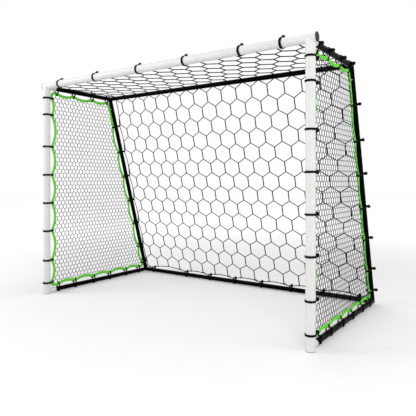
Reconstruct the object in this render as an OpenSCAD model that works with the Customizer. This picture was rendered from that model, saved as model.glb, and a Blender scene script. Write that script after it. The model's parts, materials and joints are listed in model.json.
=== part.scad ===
// Football goal with a net roof, a sloping net back and two fine-mesh sides.
// X runs along the crossbar, Y from the mouth to the back, Z up from the ground.

/* [Goal] */
// Distance between the axes of the two posts
goal_w = 2000; // [1600:10:2600]
// Height of the crossbar axis above the ground
crossbar_z = 1487; // [1300:1:1700]
// Distance from the post axes back to the rear top bar
top_depth = 606; // [500:1:750]
// Distance from the post axes back to the rear ground bar
base_depth = 1038; // [900:1:1200]

/* [Front frame] */
// Outside diameter of the posts and the crossbar
post_d = 48; // [44:1:54]
// Wall of the posts and the crossbar
post_wall = 2; // [1.5:0.1:3]
// Reach of the crossbar beyond each post axis
crossbar_reach = 32; // [28:1:45]
// Distance from the post axes back to the mouths of the rail sockets
socket_reach = 66; // [58:1:70]
// Wall of the rail sockets
socket_wall = 1.7; // [1.5:0.1:3]
// Length of the crossbar spigots inside the posts
post_spigot = 60; // [40:1:90]

/* [Rear frame] */
// Outside diameter of the rear frame tubes
rail_d = 32; // [28:1:34]
// Wall of the rear frame tubes
rail_wall = 1.5; // [1:0.1:2.5]
// Drop of the top rail axes below the crossbar axis
top_drop = 9.5; // [8:0.5:12]
// Distance of the rear frame inside the post axes, on each side
side_inset = 4; // [2:0.5:6]
// Length of each arm of a corner fitting
corner_arm = 60; // [45:1:65]
// How far the ball of a corner fitting stands proud of its arms
corner_ball = 0.6; // [0.4:0.1:3]
// Length of the spigots of a corner fitting
corner_spigot = 42; // [30:1:50]

/* [Caps and screws] */
// Thickness of the rims of the end caps
cap_rim = 3.5; // [2:0.5:5]
// Length of the cap plugs inside the tubes
cap_plug = 22; // [14:1:30]
// Nominal diameter of the joint screws
screw_d = 5; // [4:0.5:6]
// Length of the joint screws under the head
screw_len = 11; // [9:0.5:14]

/* [Nets] */
// Pitch of the large mesh, across the flats of a cell
net_pitch = 120.4; // [100:0.1:140]
// Cord diameter of the large mesh
net_cord = 3.5; // [3:0.1:5]
// Place of the middle row of large cells from the centre line
net_phase = 11.5; // [0:0.5:60]
// Distance of the large net's front edge below the crossbar axis
net_drop = 7; // [3:0.5:10]
// Distance of the large net in front of the rear ground bar axis
net_lead = 9; // [4:0.5:12]
// Diameter of the cord round the edge of the large net
edge_cord = 4; // [3.5:0.1:6]
// Pitch of the side mesh, across the flats of a cell
side_pitch = 76; // [66:1:100]
// Cord diameter of the side mesh
side_cord = 2.4; // [2:0.1:4]

/* [Side edging] */
// Width of the edging in the plane of the side net
hem_w = 18; // [14:0.5:20]
// Thickness of the edging
hem_t = 12; // [9:0.5:13]
// Gap between a post and the edging at a bungee
hem_post_gap = 4; // [3.5:0.5:8]
// Gap between a rail and the edging at a bungee
hem_rail_gap = 8; // [6:0.5:12]
// Sag of the edging between two bungees, as a share of their spacing
hem_slack = 0.1; // [0.04:0.01:0.14]

/* [Bungees] */
// Diameter of the elastic cord
elastic_d = 4.5; // [3.5:0.1:5]
// Distance between the two strands of a bungee
strand_gap = 5.2; // [5.1:0.1:7]
// Diameter of the bungee balls
ball_d = 18; // [16:0.5:20]
// Gap between a tube and the large net's edge cord at a bungee
edge_gap = 10; // [6:0.5:12]
// Sag of the large net's edge cord along the sides, as a share of the bungee spacing
edge_side_slack = 0.11; // [0.04:0.01:0.14]
// Sag of the large net's edge cord along the crossbar, as such a share
edge_front_slack = 0.055; // [0.03:0.005:0.1]
// Sag of the large net's edge cord along the rear ground bar, as such a share
edge_ground_slack = 0.075; // [0.03:0.005:0.1]

/* [Hidden] */
$fn = 48;
slip = 0.3;
touch = 0.15;
belt_step = 24;
scallop_steps = 4;
turn_steps = 8;
fold_steps = 5;

// Tubes and their bores
post_r = post_d / 2;
post_bore = post_r - post_wall;
rail_r = rail_d / 2;
rail_bore = rail_r - rail_wall;
socket_bore = rail_r + slip;
socket_r = socket_bore + socket_wall;
socket_stop = post_r + 4;

// Rear frame seen from the side, as points of depth and height. Its ground rails lie on their bungees.
ground_z = rail_r + touch + elastic_d;
side_x = goal_w / 2 - side_inset;
rail_z = crossbar_z - top_drop;
top_corner = [top_depth, rail_z];
ground_corner = [base_depth, ground_z];
rear_len = norm(top_corner - ground_corner);
lean = atan2(base_depth - top_depth, rail_z - ground_z);
up_lean = [0, -sin(lean), cos(lean)];

// The foot caps' rims stay below the rail sockets
foot_rim = min(cap_rim, ground_z - socket_r - touch);

// Bungee places, as shares of the tube that carries them
post_ties = [0.942, 0.862, 0.708, 0.572, 0.4365, 0.302, 0.1605, 0.053];
rear_ties = [0.067, 0.165, 0.302, 0.436, 0.573, 0.708, 0.847];
top_ties = [0.132, 0.383, 0.681, 0.93];
ground_ties = [0.0925, 0.239, 0.416, 0.58, 0.757, 0.907];
crossbar_ties = [-0.855, -0.495, -0.113, 0.244, 0.611, 0.85];
rear_bar_ties = [-0.902, -0.538, -0.298, -0.061, 0.176, 0.419, 0.665, 0.915];

post_count = len(post_ties);
rear_count = len(rear_ties);
top_count = len(top_ties);
ground_count = len(ground_ties);
crossbar_count = len(crossbar_ties);
rear_bar_count = len(rear_bar_ties);

function post_tie(i) = crossbar_z * post_ties[i];
function rear_tie(i) = (crossbar_z * rear_ties[i] - ground_z) / cos(lean);
function top_tie(i) = top_depth * top_ties[i];
function ground_tie(i) = base_depth * ground_ties[i];
function crossbar_tie(i) = goal_w / 2 * crossbar_ties[i];
function rear_bar_tie(i) = side_x * rear_bar_ties[i];
function turned(list) = [for (i = [len(list) - 1 : -1 : 0]) list[i]];

// Bungee sections. A scallop leaves a tie at PI times its slack, and sag_slope lies a little above that.
sag_slope = 3.5;
tie_play = 1.6;
cord_r = elastic_d / 2;
ball_r = ball_d / 2;
ball_seat = ball_r + cord_r + touch;
post_wrap = post_r + cord_r + touch;
rail_wrap = rail_r + cord_r + touch;
hem_wrap = hem_t / 2 + cord_r + touch;
edge_wrap = edge_cord / 2 + cord_r + touch;
post_near = post_r + hem_post_gap + hem_w / 2;
rail_near = rail_r + hem_rail_gap + hem_w / 2;
strand_reach = (strand_gap + elastic_d) / 2;
hem_tip = (hem_w - hem_t) / 2 + strand_reach * hem_slack * sag_slope;
edge_near = rail_r + edge_gap + edge_cord / 2;
edge_near_bar = post_r + edge_gap + edge_cord / 2;
edge_tip = strand_reach * max(edge_side_slack, edge_front_slack, edge_ground_slack) * sag_slope;

// Places of the balls, as angles round the tube or the edging that they lie on
crossbar_ball_turn = 59;
bar_ball_turn = 30;
post_ball_turn = 64;
top_ball_turn = 90;
rear_ball_turn = 100;

// The model stands with its origin under the middle of its box
front_y = -(post_wrap + cord_r);
back_y = base_depth + (rail_wrap + ball_seat) * sin(bar_ball_turn) + ball_r;
origin_y = (front_y + back_y) / 2;

// Small vector helpers
function unit(v) = v / norm(v);
function left_of(v) = [-v[1], v[0]];
function dir(a) = [cos(a), sin(a)];

// Places children in a frame with the given origin, X axis and Y axis
module at(o, u, v) {
  w = cross(u, v);
  rows = [for (k = [0 : 2]) [u[k], v[k], w[k], o[k]]];
  multmatrix(concat(rows, [[0, 0, 0, 1]])) children();
}

// Moves children from the mouth's own place to the model's origin
module stand() {
  translate([0, -origin_y, 0]) children();
}

// Draws children on the right side, or mirrored on the left
module side(s) {
  stand()
    if (s > 0) children();
    else mirror([1, 0, 0]) children();
}

// Round bar from one point to another
module rod(a, b, r) {
  d = b - a;
  translate(a) rotate([0, acos(d[2] / norm(d)), atan2(d[1], d[0])]) cylinder(r = r, h = norm(d));
}

// Tube from one point to another, its bore cut a little past both ends
module tube(a, b, r, bore) {
  u = unit(b - a);
  difference() {
    rod(a, b, r);
    rod(a - u, b + u, bore);
  }
}

// ---- Screws: a domed head on a shank, pointing down its local Z axis ----
screw_hole = screw_d / 2 + touch;
screw_head_r = screw_d * 0.95;
screw_head_h = screw_d * 0.55;
screw_dome_r = screw_head_r * 1.08;
screw_dome_z = screw_head_h * 0.9;

module screw() {
  cylinder(r = screw_d / 2, h = screw_len);
  rotate_extrude() intersection() {
    translate([0, screw_dome_z]) circle(r = screw_dome_r);
    translate([0, -screw_head_h]) square([screw_head_r, screw_head_h]);
  }
}

module hole() {
  translate([0, 0, -1]) cylinder(r = screw_hole, h = screw_len + 2);
}

// Screw places. The shank runs along the local Z axis, into the tube.
post_screw_share = 0.6;
socket_screw_y = (socket_stop + socket_reach) / 2 + 6;

module at_post_screw() {
  z = crossbar_z - post_r - post_spigot * post_screw_share;
  at([goal_w / 2, post_r, z], [1, 0, 0], [0, 0, 1]) children();
}

module at_socket_screw(z) {
  at([side_x, socket_screw_y, z - socket_r], [1, 0, 0], [0, 1, 0]) children();
}

rail_screw = corner_arm + corner_spigot * 0.5;
bar_screw = corner_arm + corner_spigot * 0.25;

module at_rail_screw(c) {
  at([side_x, c[0] - rail_screw, c[1] - rail_r], [1, 0, 0], [0, 1, 0]) children();
}

module at_bar_screw(c) {
  at([side_x - bar_screw, c[0], c[1] - rail_r], [1, 0, 0], [0, 1, 0]) children();
}

// The upright's screws enter from inside the goal, toward up or down from the corner
module at_upright_screw(c, way) {
  o = [side_x, c[0], c[1]] + up_lean * rail_screw * way - [0, cos(lean), sin(lean)] * rail_r;
  at(o, up_lean, [1, 0, 0]) children();
}

module at_corner_screws(c, way) {
  at_rail_screw(c) children();
  at_bar_screw(c) children();
  at_upright_screw(c, way) children();
}

// ---- Front frame ----
crossbar_half = goal_w / 2 + crossbar_reach;
spigot_r = post_bore - slip;

module socket(z, bore) {
  y0 = bore ? socket_stop : 0;
  y1 = bore ? socket_reach + 1 : socket_reach;
  rod([side_x, y0, z], [side_x, y1, z], bore ? socket_bore : socket_r);
}

module crossbar_end() {
  spigot_top = crossbar_z - post_r;
  spigot_end = spigot_top - post_spigot;
  difference() {
    union() {
      rod([0, 0, crossbar_z], [crossbar_half, 0, crossbar_z], post_r);
      socket(rail_z, false);
      rod([goal_w / 2, 0, spigot_end], [goal_w / 2, 0, crossbar_z], spigot_r);
    }
    rod([-1, 0, crossbar_z], [crossbar_half + 1, 0, crossbar_z], post_bore);
    socket(rail_z, true);
    rod([goal_w / 2, 0, spigot_end - 1], [goal_w / 2, 0, spigot_top - 2], spigot_r - post_wall);
    at_post_screw() hole();
    at_socket_screw(rail_z) hole();
  }
}

module crossbar() {
  color("whitesmoke") {
    side(1) crossbar_end();
    side(-1) crossbar_end();
  }
}

// The top of the post is cut to sit under the crossbar and the socket behind it
module post(s) {
  color("whitesmoke") side(s) difference() {
    union() {
      rod([goal_w / 2, 0, foot_rim], [goal_w / 2, 0, crossbar_z], post_r);
      socket(ground_z, false);
    }
    rod([goal_w / 2, 0, foot_rim - 1], [goal_w / 2, 0, crossbar_z + 1], post_bore);
    rod([goal_w / 2 - post_d, 0, crossbar_z], [goal_w / 2 + post_d, 0, crossbar_z], post_r + touch);
    rod([side_x, 0, rail_z], [side_x, socket_reach, rail_z], socket_r + touch);
    socket(ground_z, true);
    at_post_screw() hole();
    at_socket_screw(ground_z) hole();
  }
}

// Plug with a rounded rim and three grip rings, hollow from inside. The rim lies below Z = 0.
grip_rings = 3;
grip_h = 0.8;
grip_land = 0.5;
cap_wall = 2.5;
dish_r = post_r * 0.72;
dish_depth = 1;

module cap(rim) {
  ring = cap_plug / (grip_rings + 1);
  grip = post_bore - touch;
  core = grip - grip_h;
  edge = rim * 0.4;
  rotate_extrude() difference() {
    union() {
      translate([0, -rim]) square([post_r - edge, rim]);
      translate([0, -rim + edge]) square([post_r, rim - edge]);
      translate([post_r - edge, -rim + edge]) circle(r = edge);
      square([core, cap_plug]);
      for (k = [1 : grip_rings])
        polygon([[0, ring * (k - 0.5)], [core, ring * (k - 0.5)], [grip, ring * k],
          [core, ring * k + grip_land], [0, ring * k + grip_land]]);
    }
    square([core - cap_wall, cap_plug + 1]);
  }
}

module crossbar_cap(s) {
  color("dimgray") side(s) at([crossbar_half, 0, crossbar_z], [0, 1, 0], [0, 0, -1]) difference() {
    cap(cap_rim);
    translate([0, 0, -cap_rim - 1]) cylinder(r = dish_r, h = dish_depth + 1);
  }
}

module foot_cap(s) {
  color("dimgray") side(s) translate([goal_w / 2, 0, foot_rim]) cap(foot_rim);
}

// ---- Rear frame ----
module rail(s, z, end) {
  color("black") side(s) difference() {
    tube([side_x, socket_stop + 1, z], [side_x, end - corner_arm - touch, z], rail_r, rail_bore);
    at_socket_screw(z) hole();
    at_rail_screw([end, z]) hole();
  }
}

module cross_bar(c) {
  half = side_x - corner_arm - touch;
  color("black") stand() difference() {
    tube([-half, c[0], c[1]], [half, c[0], c[1]], rail_r, rail_bore);
    at_bar_screw(c) hole();
    mirror([1, 0, 0]) at_bar_screw(c) hole();
  }
}

module rear_post(s) {
  foot = [side_x, base_depth, ground_z] + up_lean * (corner_arm + touch);
  head = [side_x, top_depth, rail_z] - up_lean * (corner_arm + touch);
  color("black") side(s) difference() {
    tube(foot, head, rail_r, rail_bore);
    at_upright_screw(ground_corner, 1) hole();
    at_upright_screw(top_corner, -1) hole();
  }
}

// A ball and three arms of the tube's own diameter, each with a spigot for the tube beyond it
module corner(s, c, way) {
  o = [side_x, c[0], c[1]];
  color("black") side(s) difference() {
    union() {
      translate(o) sphere(r = rail_r + corner_ball);
      for (u = [[0, -1, 0], [-1, 0, 0], up_lean * way]) {
        rod(o, o + u * corner_arm, rail_r);
        rod(o, o + u * (corner_arm + corner_spigot), rail_bore - slip);
      }
    }
    at_corner_screws(c, way) hole();
  }
}

module post_screws() {
  color("silver") for (s = [-1, 1]) side(s) at_post_screw() screw();
}

module socket_screws() {
  color("silver") for (s = [-1, 1]) side(s) {
    at_socket_screw(rail_z) screw();
    at_socket_screw(ground_z) screw();
  }
}

module corner_screws() {
  color("silver") for (s = [-1, 1]) side(s) {
    at_corner_screws(top_corner, -1) screw();
    at_corner_screws(ground_corner, 1) screw();
  }
}

// ---- Large net, laid out flat first, then folded over the rear top bar ----
wrap_r = rail_r + slip + max(net_cord, edge_cord) / 2;
net_front = [0, crossbar_z - net_drop];
net_run = top_corner - net_front;
rise = atan2(net_run[1], net_run[0]) + asin(wrap_r / norm(net_run));
top_len = sqrt(pow(norm(net_run), 2) - pow(wrap_r, 2));
net_lean = lean - asin((wrap_r + net_lead) / rear_len);
fold_turn = 90 + rise - net_lean;
fold_len = wrap_r * fold_turn * PI / 180;
down_net = [sin(net_lean), -cos(net_lean)];
rear_start = top_corner + wrap_r * dir(net_lean);
rear_end = (ground_corner - top_corner) * down_net;
fold_end = top_len + fold_len;
net_len = fold_end + rear_end;
bend_cord = net_cord - 2 * touch;

// Direction that the folded net faces, and where a flat point goes
function net_angle(m) =
  m < top_len ? 90 + rise : m < fold_end ? 90 + rise - (m - top_len) / wrap_r * 180 / PI : net_lean;
function net_place(m) =
  m < top_len ? net_front + m * dir(rise)
  : m < fold_end ? top_corner + wrap_r * dir(net_angle(m))
  : rear_start + (m - fold_end) * down_net;

// Scallops along one edge, from tie to tie, a given distance inside the edge
function scallops(a, b, ties, near, slack, n) =
  let (u = unit(b - a))
  [for (i = [0 : len(ties) - 2]) for (k = [0 : n - 1])
    let (t = k / n, gap = ties[i + 1] - ties[i])
    a + u * (ties[i] + gap * t) + left_of(u) * (near + slack * gap * sin(180 * t)),
  a + u * ties[len(ties) - 1] + left_of(u) * near];

// Smooth turn from the end of one row of scallops to the start of the next
function turn(p, u, q, v, n) =
  let (c = p + u * cross(q - p, v) / cross(u, v))
  [for (k = [1 : n - 1]) let (t = k / n) pow(1 - t, 3) * p + 3 * t * (1 - t) * c + pow(t, 3) * q];

// Closed outline through four edges, each [start, end, ties, near, slack]
function outline(edges, inner, n) =
  [for (i = [0 : 3])
    let (e = edges[i], f = edges[(i + 1) % 4],
      row = scallops(e[0], e[1], e[2], e[3] + inner, e[4], n),
      next = f[0] + unit(f[1] - f[0]) * f[2][0] + left_of(unit(f[1] - f[0])) * (f[3] + inner))
    each concat(row, turn(row[len(row) - 1], unit(e[1] - e[0]), next, unit(f[1] - f[0]), turn_steps))];

// Edges of the large net in the flat: the crossbar, the right side, the ground bar, the left side
function side_m(i) =
  i < top_count ? top_tie(i) / cos(rise) : fold_end + rear_len - rear_tie(rear_count - 1 - i + top_count);
net_side_ties = [for (i = [0 : top_count + rear_count - 1]) side_m(i)];
crossbar_places = [for (i = [0 : crossbar_count - 1]) crossbar_tie(i) + side_x];
rear_bar_places = turned([for (i = [0 : rear_bar_count - 1]) side_x - rear_bar_tie(i)]);
net_edges = [
  [[-side_x, 0], [side_x, 0], crossbar_places, edge_near_bar, edge_front_slack],
  [[side_x, 0], [side_x, net_len], net_side_ties, edge_near, edge_side_slack],
  [[side_x, net_len], [-side_x, net_len], rear_bar_places, edge_near, edge_ground_slack],
  [[-side_x, net_len], [-side_x, 0], turned([for (m = net_side_ties) net_len - m]), edge_near,
    edge_side_slack]];
net_inset = edge_cord / 2 + touch;
tie_clear = strand_reach + tie_play;

// Where the bungees of each edge come through the net
function tie_points(edges, depth) =
  [for (e = edges) let (u = unit(e[1] - e[0])) for (t = e[2]) e[0] + u * t + left_of(u) * (e[3] + depth)];

module tie_gaps(edges, depth) {
  for (p = tie_points(edges, depth)) translate(p) circle(r = tie_clear, $fn = 8);
}

// Pointed cells in rows, with an upright cord at the middle of row 0
module cells(pitch, cord, x0, y0, x_half, y_from, y_to) {
  row = pitch * sqrt(3) / 2;
  for (j = [floor((y_from - y0) / row) : ceil((y_to - y0) / row)])
    for (i = [floor((-x_half - x0) / pitch) - 1 : ceil((x_half - x0) / pitch)])
      translate([x0 + pitch * (i + 0.5 + abs(j % 2) / 2), y0 + row * j])
        rotate(30) circle(r = (pitch - cord) / sqrt(3), $fn = 6);
}

// Flat large net between two distances from the crossbar
module flat_net(from, to) {
  difference() {
    intersection() {
      polygon(outline(net_edges, net_inset, scallop_steps));
      translate([-side_x, from]) square([2 * side_x, to - from]);
    }
    cells(net_pitch, net_cord, net_phase, top_len, side_x, from, to);
    tie_gaps(net_edges, edge_tip + edge_wrap);
  }
}

module top_net() {
  color("black") stand()
    at([0, net_front[0], net_front[1]], [1, 0, 0], [0, cos(rise), sin(rise)])
      translate([0, 0, -net_cord / 2]) linear_extrude(net_cord) flat_net(0, top_len);
}

// An upright cord of the net, bent round the rear top bar, seen along the bar
module bend() {
  turns = [for (k = [0 : fold_steps]) net_lean + fold_turn * k / fold_steps];
  outer = wrap_r + bend_cord / 2;
  inner = wrap_r - bend_cord / 2;
  linear_extrude(bend_cord, center = true)
    polygon(concat([outer * dir(net_lean) + down_net * slip], [for (a = turns) outer * dir(a)],
      [for (a = turned(turns)) inner * dir(a)], [inner * dir(net_lean) + down_net * slip]));
}

// The upright cords that cross the rear top bar are bent round it
module rear_net() {
  reach = side_x - edge_near - edge_cord / 2 - net_pitch * edge_side_slack * 2;
  cords = floor((reach - net_phase) / net_pitch);
  color("black") stand() {
    at([0, rear_start[0], rear_start[1]], [1, 0, 0], [0, down_net[0], down_net[1]])
      translate([0, -fold_end, -net_cord / 2]) linear_extrude(net_cord) flat_net(fold_end, net_len);
    for (i = [-cords - 1 : cords]) if (abs(net_phase + i * net_pitch) < reach)
      translate([net_phase + i * net_pitch, top_depth, rail_z]) rotate([90, 0, 90]) bend();
  }
}

// Closed soft tube through a list of points, each with the direction it faces
module soft_loop(points, faces_to, w, t, sides) {
  n = len(points);
  rings = [for (i = [0 : n - 1])
    let (along = unit(points[(i + 1) % n] - points[(i + n - 1) % n]),
      across = unit(cross(along, faces_to[i])))
    for (k = [0 : sides - 1])
      points[i] + across * (w / 2 * cos(360 * k / sides)) + faces_to[i] * (t / 2 * sin(360 * k / sides))];
  skin = [for (i = [0 : n - 1]) for (k = [0 : sides - 1])
    let (a = i * sides + k, b = i * sides + (k + 1) % sides,
      c = ((i + 1) % n) * sides + k, d = ((i + 1) % n) * sides + (k + 1) % sides)
    each [[a, c, b], [b, c, d]]];
  polyhedron(rings, skin, convexity = 10);
}

// Adds stops where an outline goes round the rear top bar
fold_stops = [for (k = [0 : fold_steps]) top_len + fold_len * k / fold_steps];
function crossing(p, q, m) = p + (q - p) * (m - p[1]) / (q[1] - p[1]);
function folded(flat) =
  [for (i = [0 : len(flat) - 1])
    let (p = flat[i], q = flat[(i + 1) % len(flat)], stops = q[1] > p[1] ? fold_stops : turned(fold_stops))
    each concat([p], [for (m = stops) if ((p[1] - m) * (q[1] - m) < 0) crossing(p, q, m)])];

module net_edge_cord() {
  flat = folded(outline(net_edges, 0, scallop_steps));
  points = [for (p = flat) let (q = net_place(p[1])) [p[0], q[0], q[1]]];
  faces_to = [for (p = flat) let (a = net_angle(p[1])) [0, cos(a), sin(a)]];
  color("black") stand() soft_loop(points, faces_to, edge_cord, edge_cord, 6);
}

// ---- Side nets and their edging, drawn as depth and height ----
ground_places = [for (i = [0 : ground_count - 1]) ground_tie(i)];
rear_places = [for (i = [0 : rear_count - 1]) rear_tie(i)];
top_places = turned([for (i = [0 : top_count - 1]) top_depth - top_tie(i)]);
post_places = [for (i = [0 : post_count - 1]) rail_z - post_tie(i)];
side_edges = [
  [[0, ground_z], ground_corner, ground_places, rail_near, hem_slack],
  [ground_corner, top_corner, rear_places, rail_near, hem_slack],
  [top_corner, [0, rail_z], top_places, rail_near, hem_slack],
  [[0, rail_z], [0, ground_z], post_places, post_near, hem_slack]];

hem_seam = 0.7;

module side_net(s) {
  color("gray") side(s)
    at([side_x, 0, 0], [0, 1, 0], [0, 0, 1]) translate([0, 0, -side_cord / 2]) linear_extrude(side_cord)
      difference() {
        polygon(outline(side_edges, hem_w / 2 + hem_seam, scallop_steps));
        intersection() {
          polygon(outline(side_edges, hem_w / 2 + hem_seam + side_cord, scallop_steps));
          translate([base_depth / 2, 0])
            cells(side_pitch, side_cord, 0, ground_z, base_depth / 2, ground_z, rail_z);
        }
        tie_gaps(side_edges, hem_tip + hem_wrap);
      }
}

module side_edging(s) {
  flat = outline(side_edges, 0, scallop_steps);
  points = [for (p = flat) [side_x, p[0], p[1]]];
  color("limegreen") side(s) soft_loop(points, [for (p = flat) [1, 0, 0]], hem_w, hem_t, 8);
}

// ---- Bungees: a double elastic loop round a tube and what it holds, and a ball ----
// Direction from one wrapped circle to the side where the cord leaves it for the next
function leave(a, b) =
  let (d = b[0] - a[0]) atan2(d[1], d[0]) - acos((a[1] - b[1]) / norm(d));

// Corners of a belt round the circles, a given distance out from the cord's middle. Its flats stay outside.
function belt(circles, out) =
  let (n = len(circles))
  [for (i = [0 : n - 1])
    let (b = circles[(i + 1) % n], c = circles[(i + 2) % n],
      start = leave(circles[i], b), swing = leave(b, c) - start,
      sweep = swing - 360 * floor(swing / 360), steps = ceil(sweep / belt_step),
      r = out < 0 ? (b[1] + out) / cos(sweep / steps / 2) : b[1] + out)
    for (k = [0 : steps]) b[0] + r * dir(start + sweep * k / steps)];

module loop(circles) {
  for (z = [-0.5, 0.5])
    translate([0, 0, z * strand_gap - cord_r]) linear_extrude(elastic_d) difference() {
      polygon(belt(circles, cord_r));
      polygon(belt(circles, -cord_r));
    }
}

// A ball outside a wrapped circle, at an angle round it
module ball(circle_at, turn_to) {
  p = circle_at[0] + (circle_at[1] + ball_seat) * dir(turn_to);
  translate([p[0], p[1], 0]) sphere(r = ball_r);
}

// A ball against the straight strands that run from one wrapped circle to the next
module strand_ball(a, b) {
  out = dir(leave(a, b));
  p = (a[0] + b[0] + (a[1] + b[1]) * out) / 2 + ball_seat * out;
  translate([p[0], p[1], 0]) sphere(r = ball_r);
}

hem_on_rail = [[rail_near + hem_tip, 0], hem_wrap];
on_rail = [[0, 0], rail_wrap];
on_post = [[0, 0], post_wrap];
hem_on_post = [[post_near + hem_tip, -side_inset], hem_wrap];

// The large net's edge cord as a bungee on the crossbar, the ground bar or a side tube meets it
edge_on_bar = let (q = net_place(edge_near_bar + edge_tip)) [[q[0], q[1] - crossbar_z], edge_wrap];
edge_on_ground = let (q = net_place(net_len - edge_near - edge_tip))
  [[q[1] - ground_z, q[0] - base_depth], edge_wrap];
function edge_on_top(i) =
  [[rail_z - net_place(top_tie(i) / cos(rise))[1], -edge_near - edge_tip], edge_wrap];
function edge_on_rear(i) =
  [[(wrap_r + net_lead) * (rear_len - rear_tie(i)) / rear_len - wrap_r, -edge_near - edge_tip], edge_wrap];

module at_crossbar(i) {
  at([crossbar_tie(i), 0, crossbar_z], [0, 1, 0], [0, 0, 1]) children();
}

module at_rear_bar(i) {
  at([rear_bar_tie(i), base_depth, ground_z], [0, 0, 1], [0, 1, 0]) children();
}

module at_post(i) {
  at([goal_w / 2, 0, post_tie(i)], [0, 1, 0], [1, 0, 0]) children();
}

module at_top(i) {
  at([side_x, top_tie(i), rail_z], [0, 0, -1], [1, 0, 0]) children();
}

module at_ground(i) {
  at([side_x, ground_tie(i), ground_z], [0, 0, 1], [1, 0, 0]) children();
}

module at_rear(i) {
  o = [side_x, base_depth, ground_z] + up_lean * rear_tie(i);
  at(o, [0, -cos(lean), -sin(lean)], [1, 0, 0]) children();
}

module crossbar_loops() {
  color("black") stand() for (i = [0 : crossbar_count - 1]) at_crossbar(i) loop([edge_on_bar, on_post]);
}

module crossbar_balls() {
  color("black") stand() for (i = [0 : crossbar_count - 1]) at_crossbar(i) ball(on_post, crossbar_ball_turn);
}

module rear_ground_bar_loops() {
  color("black") stand() for (i = [0 : rear_bar_count - 1]) at_rear_bar(i) loop([edge_on_ground, on_rail]);
}

module rear_ground_bar_balls() {
  color("black") stand() for (i = [0 : rear_bar_count - 1]) at_rear_bar(i) ball(on_rail, bar_ball_turn);
}

module post_loops(s) {
  color("black") side(s) for (i = [0 : post_count - 1]) at_post(i) loop([hem_on_post, on_post]);
}

module post_balls(s) {
  color("black") side(s) for (i = [0 : post_count - 1]) at_post(i) ball(hem_on_post, post_ball_turn);
}

module top_rail_loops(s) {
  color("black") side(s) for (i = [0 : top_count - 1])
    at_top(i) loop([hem_on_rail, on_rail, edge_on_top(i)]);
}

module top_rail_balls(s) {
  color("black") side(s) for (i = [0 : top_count - 1]) at_top(i) ball(on_rail, top_ball_turn);
}

module rear_post_loops(s) {
  color("black") side(s) for (i = [0 : rear_count - 1])
    at_rear(i) loop([hem_on_rail, on_rail, edge_on_rear(i)]);
}

module rear_post_balls(s) {
  color("black") side(s) for (i = [0 : rear_count - 1]) at_rear(i) ball(on_rail, rear_ball_turn);
}

module ground_rail_loops(s) {
  color("black") side(s) for (i = [0 : ground_count - 1]) at_ground(i) loop([hem_on_rail, on_rail]);
}

module ground_rail_balls(s) {
  color("black") side(s) for (i = [0 : ground_count - 1]) at_ground(i) strand_ball(hem_on_rail, on_rail);
}

crossbar();
post(-1);  // left_post
post(1);  // right_post
crossbar_cap(-1);  // left_crossbar_cap
crossbar_cap(1);  // right_crossbar_cap
foot_cap(-1);  // left_foot_cap
foot_cap(1);  // right_foot_cap
rail(-1, rail_z, top_depth);  // left_top_rail
rail(1, rail_z, top_depth);  // right_top_rail
cross_bar(top_corner);  // rear_top_bar
rear_post(-1);  // left_rear_post
rear_post(1);  // right_rear_post
rail(-1, ground_z, base_depth);  // left_ground_rail
rail(1, ground_z, base_depth);  // right_ground_rail
cross_bar(ground_corner);  // rear_ground_bar
corner(-1, top_corner, -1);  // left_top_corner
corner(1, top_corner, -1);  // right_top_corner
corner(-1, ground_corner, 1);  // left_ground_corner
corner(1, ground_corner, 1);  // right_ground_corner
post_screws();
socket_screws();
corner_screws();
top_net();
rear_net();
net_edge_cord();
side_net(-1);  // left_side_net
side_net(1);  // right_side_net
side_edging(-1);  // left_side_edging
side_edging(1);  // right_side_edging
crossbar_loops();
crossbar_balls();
post_loops(-1);  // left_post_loops
post_balls(-1);  // left_post_balls
post_loops(1);  // right_post_loops
post_balls(1);  // right_post_balls
top_rail_loops(-1);  // left_top_rail_loops
top_rail_balls(-1);  // left_top_rail_balls
top_rail_loops(1);  // right_top_rail_loops
top_rail_balls(1);  // right_top_rail_balls
rear_post_loops(-1);  // left_rear_post_loops
rear_post_balls(-1);  // left_rear_post_balls
rear_post_loops(1);  // right_rear_post_loops
rear_post_balls(1);  // right_rear_post_balls
ground_rail_loops(-1);  // left_ground_rail_loops
ground_rail_balls(-1);  // left_ground_rail_balls
ground_rail_loops(1);  // right_ground_rail_loops
ground_rail_balls(1);  // right_ground_rail_balls
rear_ground_bar_loops();
rear_ground_bar_balls();
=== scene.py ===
import bpy
import json
import math
from mathutils import Matrix, Vector


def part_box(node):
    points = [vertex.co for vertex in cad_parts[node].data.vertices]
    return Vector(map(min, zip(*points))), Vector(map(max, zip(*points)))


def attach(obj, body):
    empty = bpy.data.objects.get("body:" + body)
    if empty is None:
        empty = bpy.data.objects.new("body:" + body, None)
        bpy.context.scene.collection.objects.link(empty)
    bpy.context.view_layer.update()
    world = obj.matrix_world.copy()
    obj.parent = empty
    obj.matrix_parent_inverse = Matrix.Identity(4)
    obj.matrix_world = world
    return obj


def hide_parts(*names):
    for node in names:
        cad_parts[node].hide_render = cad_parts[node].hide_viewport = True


# A garden goal: white front frame, black rear frame, one large-mesh net folded over
# the rear bar, two fine side nets with green edging, and black ball bungees.

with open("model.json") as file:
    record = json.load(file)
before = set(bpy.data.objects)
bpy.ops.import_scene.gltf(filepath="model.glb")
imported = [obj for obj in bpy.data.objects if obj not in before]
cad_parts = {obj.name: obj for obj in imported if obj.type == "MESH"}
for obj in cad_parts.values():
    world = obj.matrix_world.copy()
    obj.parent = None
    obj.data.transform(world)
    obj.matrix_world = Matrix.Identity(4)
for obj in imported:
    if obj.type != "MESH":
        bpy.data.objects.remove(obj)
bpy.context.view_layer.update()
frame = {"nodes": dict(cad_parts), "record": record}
mm = 0.001


def middle(node):
    low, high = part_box(node)
    return (low + high) / 2


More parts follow.
